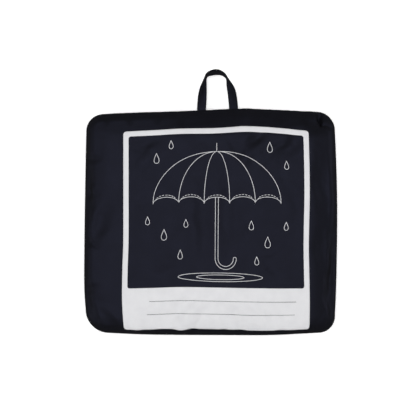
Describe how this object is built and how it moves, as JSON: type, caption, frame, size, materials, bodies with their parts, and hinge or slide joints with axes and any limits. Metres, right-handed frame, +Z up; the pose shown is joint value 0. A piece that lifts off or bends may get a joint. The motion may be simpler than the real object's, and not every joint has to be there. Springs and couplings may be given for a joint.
{
  "type": "child's raincoat folded in its own zipped pouch",
  "caption": "Child's waterproof coat folded flat inside its own soft zipped pouch, lying on its back, with a tape loop at the top to carry or hang it by.",
  "frame": {"origin": "on the surface that the pouch lies on, under the middle of its whole length and width, loop included", "axes": "+Z up out of the printed front, +Y towards the top side with the zip and the carrying loop, +X to the right as the print is seen"},
  "size_m": [0.2801, 0.2944, 0.035],
  "materials": {
    "coated_cloth": "satin",
    "tape": "matte",
    "zip_teeth": "satin",
    "slider_metal": "satin",
    "white_print": "matte"
  },
  "bodies": {
    "pouch": {"front_panel": "coated_cloth", "back_panel": "coated_cloth", "folded_coat": "coated_cloth", "carry_loop": "tape", "zip_tape_upper": "tape", "zip_tape_lower": "tape", "zip_chain": "zip_teeth", "zip_slider": "slider_metal"},
    "pull_tab": {"zip_pull": "slider_metal"}
  },
  "joints": [
    {"name": "pull_swing", "type": "hinge", "parent": "pouch", "child": "pull_tab", "pos_m": [0.0974, 0.09896, 0.01], "axis": [0, 0, -1], "range_deg": [0, 170]}
  ]
}
